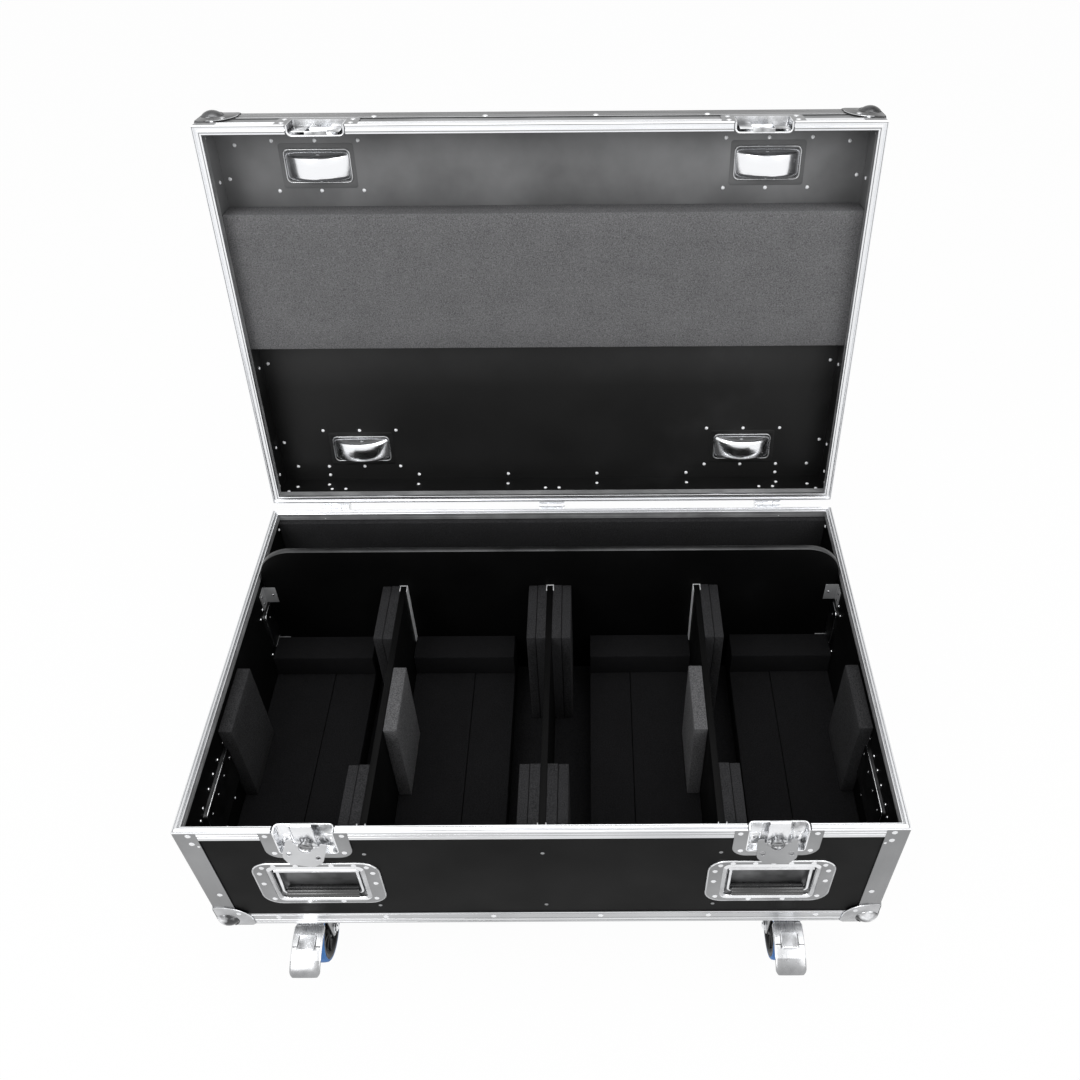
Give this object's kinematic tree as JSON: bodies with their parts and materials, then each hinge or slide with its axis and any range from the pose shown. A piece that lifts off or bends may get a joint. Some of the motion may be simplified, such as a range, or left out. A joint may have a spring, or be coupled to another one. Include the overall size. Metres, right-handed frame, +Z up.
{
  "type": "lighting flight case",
  "caption": "Wheeled plywood road case bound in aluminium: padded bays for light fittings, cable compartment, hinged lid, butterfly latches and recessed spring handles.",
  "frame": {"origin": "middle of the bounding box's base, on the floor under the castors", "axes": "+Z up, +X to the right seen from the front, +Y from the latches towards the hinges and the open lid"},
  "size_m": [0.9444, 0.8364, 0.9755],
  "materials": {
    "laminate": "black laminated plywood, satin with a fine pebble",
    "aluminium": "bright extruded, finely grooved",
    "zinc": "bright zinc-plated pressed steel",
    "chrome": "polished plated steel",
    "foam": "matt closed-cell foam",
    "rubber": "blue elastic tread on a black core"
  },
  "bodies": {
    "tub": {"tub_bottom_and_back": "laminate", "tub_front_panel": "laminate", "tub_left_panel": "laminate", "tub_right_panel": "laminate", "tub_rim": "aluminium", "tub_rim_front": "aluminium", "tub_edge_frame": "aluminium", "rear_board": "laminate", "divider_left": "laminate", "divider_centre": "laminate", "divider_right": "laminate", "foam_lining": "foam", "handle_dish_front_left": "zinc", "handle_dish_left_fore": "zinc", "handle_dish_left_aft": "zinc", "handle_dish_front_right": "zinc", "handle_dish_right_fore": "zinc", "handle_dish_right_aft": "zinc", "hinge_left": "zinc", "hinge_centre": "zinc", "hinge_right": "zinc", "castor_plate_front_left": "zinc", "castor_plate_front_right": "zinc", "castor_plate_rear_left": "zinc", "castor_plate_rear_right": "zinc", "latch_dish_left": "zinc", "latch_dish_right": "zinc"},
    "lid": {"lid_shell": "laminate", "lid_rim": "aluminium", "lid_rim_front": "aluminium", "lid_edge_frame": "aluminium", "lid_foam": "foam", "castor_dish_front_left": "zinc", "castor_dish_front_right": "zinc", "castor_dish_rear_left": "zinc", "castor_dish_rear_right": "zinc", "latch_keeper_left": "zinc", "latch_keeper_right": "zinc"},
    "latch_hub_left": {"latch_hub_left": "zinc"},
    "latch_wing_left": {"latch_wing_left": "zinc"},
    "latch_hook_left": {"latch_hook_left": "zinc"},
    "latch_hub_right": {"latch_hub_right": "zinc"},
    "latch_wing_right": {"latch_wing_right": "zinc"},
    "latch_hook_right": {"latch_hook_right": "zinc"},
    "handle_bail_front_left": {"handle_bail_front_left": "chrome"},
    "handle_bail_front_right": {"handle_bail_front_right": "chrome"},
    "handle_bail_left_fore": {"handle_bail_left_fore": "chrome"},
    "handle_bail_right_fore": {"handle_bail_right_fore": "chrome"},
    "handle_bail_left_aft": {"handle_bail_left_aft": "chrome"},
    "handle_bail_right_aft": {"handle_bail_right_aft": "chrome"},
    "castor_fork_front_left": {"castor_fork_front_left": "zinc"},
    "castor_wheel_front_left": {"castor_wheel_front_left": "rubber"},
    "castor_pedal_front_left": {"castor_pedal_front_left": "zinc"},
    "castor_fork_front_right": {"castor_fork_front_right": "zinc"},
    "castor_wheel_front_right": {"castor_wheel_front_right": "rubber"},
    "castor_pedal_front_right": {"castor_pedal_front_right": "zinc"},
    "castor_fork_rear_left": {"castor_fork_rear_left": "zinc"},
    "castor_wheel_rear_left": {"castor_wheel_rear_left": "rubber"},
    "castor_fork_rear_right": {"castor_fork_rear_right": "zinc"},
    "castor_wheel_rear_right": {"castor_wheel_rear_right": "rubber"}
  },
  "joints": [
    {"name": "lid_swing", "type": "hinge", "parent": "tub", "child": "lid", "pos_m": [0, 0.24621, 0.378], "axis": [1, 0, 0], "range_deg": [0, 99.3]},
    {"name": "latch_turn_left", "type": "hinge", "parent": "tub", "child": "latch_hub_left", "pos_m": [-0.3, -0.35929, 0.3495], "axis": [0, 1, 0], "range_deg": [-17, 163]},
    {"name": "wing_fold_left", "type": "hinge", "parent": "latch_hub_left", "child": "latch_wing_left", "pos_m": [-0.3, -0.36234, 0.3495], "axis": [0.9563, 0, -0.2924], "range_deg": [-66, 24]},
    {"name": "hook_draw_left", "type": "slide", "parent": "tub", "child": "latch_hook_left", "axis": [0, 0.5547, -0.8321], "range_m": [-0.00086, 0.00817]},
    {"name": "latch_turn_right", "type": "hinge", "parent": "tub", "child": "latch_hub_right", "pos_m": [0.3, -0.35929, 0.3495], "axis": [0, 1, 0], "range_deg": [0, 180]},
    {"name": "wing_fold_right", "type": "hinge", "parent": "latch_hub_right", "child": "latch_wing_right", "pos_m": [0.3, -0.36234, 0.3495], "axis": [1, 0, 0], "range_deg": [-66, 24]},
    {"name": "hook_draw_right", "type": "slide", "parent": "tub", "child": "latch_hook_right", "axis": [0, 0.5547, -0.8321], "range_m": [0, 0.00902]},
    {"name": "handle_lift_front_left", "type": "hinge", "parent": "tub", "child": "handle_bail_front_left", "pos_m": [-0.302, -0.3545, 0.27396], "axis": [-1, 0, 0], "range_deg": [0, 90], "stiffness_Nm_per_rad": 0.3, "springref_deg": -22.92},
    {"name": "handle_lift_front_right", "type": "hinge", "parent": "tub", "child": "handle_bail_front_right", "pos_m": [0.302, -0.3545, 0.27396], "axis": [-1, 0, 0], "range_deg": [0, 90], "stiffness_Nm_per_rad": 0.3, "springref_deg": -22.92},
    {"name": "handle_lift_left_fore", "type": "hinge", "parent": "tub", "child": "handle_bail_left_fore", "pos_m": [-0.4602, -0.2383, 0.304], "axis": [0, 1, 0], "range_deg": [0, 90], "stiffness_Nm_per_rad": 0.3, "springref_deg": -22.92},
    {"name": "handle_lift_right_fore", "type": "hinge", "parent": "tub", "child": "handle_bail_right_fore", "pos_m": [0.4602, -0.2383, 0.304], "axis": [0, -1, 0], "range_deg": [0, 90], "stiffness_Nm_per_rad": 0.3, "springref_deg": -22.92},
    {"name": "handle_lift_left_aft", "type": "hinge", "parent": "tub", "child": "handle_bail_left_aft", "pos_m": [-0.4602, 0.11771, 0.304], "axis": [0, 1, 0], "range_deg": [0, 90], "stiffness_Nm_per_rad": 0.3, "springref_deg": -22.92},
    {"name": "handle_lift_right_aft", "type": "hinge", "parent": "tub", "child": "handle_bail_right_aft", "pos_m": [0.4602, 0.11771, 0.304], "axis": [0, -1, 0], "range_deg": [0, 90], "stiffness_Nm_per_rad": 0.3, "springref_deg": -22.92},
    {"name": "swivel_front_left", "type": "hinge", "parent": "tub", "child": "castor_fork_front_left", "pos_m": [-0.345, -0.29329, 0.12], "axis": [0, 0, 1], "continuous": true},
    {"name": "roll_front_left", "type": "hinge", "parent": "castor_fork_front_left", "child": "castor_wheel_front_left", "pos_m": [-0.345, -0.3283, 0.05], "axis": [1, 0, 0], "continuous": true},
    {"name": "brake_front_left", "type": "hinge", "parent": "castor_fork_front_left", "child": "castor_pedal_front_left", "pos_m": [-0.345, -0.3443, 0.105], "axis": [1, 0, 0], "range_deg": [0, 12]},
    {"name": "swivel_front_right", "type": "hinge", "parent": "tub", "child": "castor_fork_front_right", "pos_m": [0.345, -0.29329, 0.12], "axis": [0, 0, 1], "continuous": true},
    {"name": "roll_front_right", "type": "hinge", "parent": "castor_fork_front_right", "child": "castor_wheel_front_right", "pos_m": [0.345, -0.3283, 0.05], "axis": [1, 0, 0], "continuous": true},
    {"name": "brake_front_right", "type": "hinge", "parent": "castor_fork_front_right", "child": "castor_pedal_front_right", "pos_m": [0.345, -0.3443, 0.105], "axis": [1, 0, 0], "range_deg": [0, 12]},
    {"name": "swivel_rear_left", "type": "hinge", "parent": "tub", "child": "castor_fork_rear_left", "pos_m": [-0.345, 0.1727, 0.12], "axis": [0, 0, 1], "continuous": true},
    {"name": "roll_rear_left", "type": "hinge", "parent": "castor_fork_rear_left", "child": "castor_wheel_rear_left", "pos_m": [-0.345, 0.1377, 0.05], "axis": [1, 0, 0], "continuous": true},
    {"name": "swivel_rear_right", "type": "hinge", "parent": "tub", "child": "castor_fork_rear_right", "pos_m": [0.345, 0.1727, 0.12], "axis": [0, 0, 1], "continuous": true},
    {"name": "roll_rear_right", "type": "hinge", "parent": "castor_fork_rear_right", "child": "castor_wheel_rear_right", "pos_m": [0.345, 0.1377, 0.05], "axis": [1, 0, 0], "continuous": true}
  ],
  "couplings": [
    {"joint": "hook_draw_left", "follows": "latch_turn_left", "m_per_rad": 0.0028692},
    {"joint": "hook_draw_right", "follows": "latch_turn_right", "m_per_rad": 0.0028692}
  ]
}
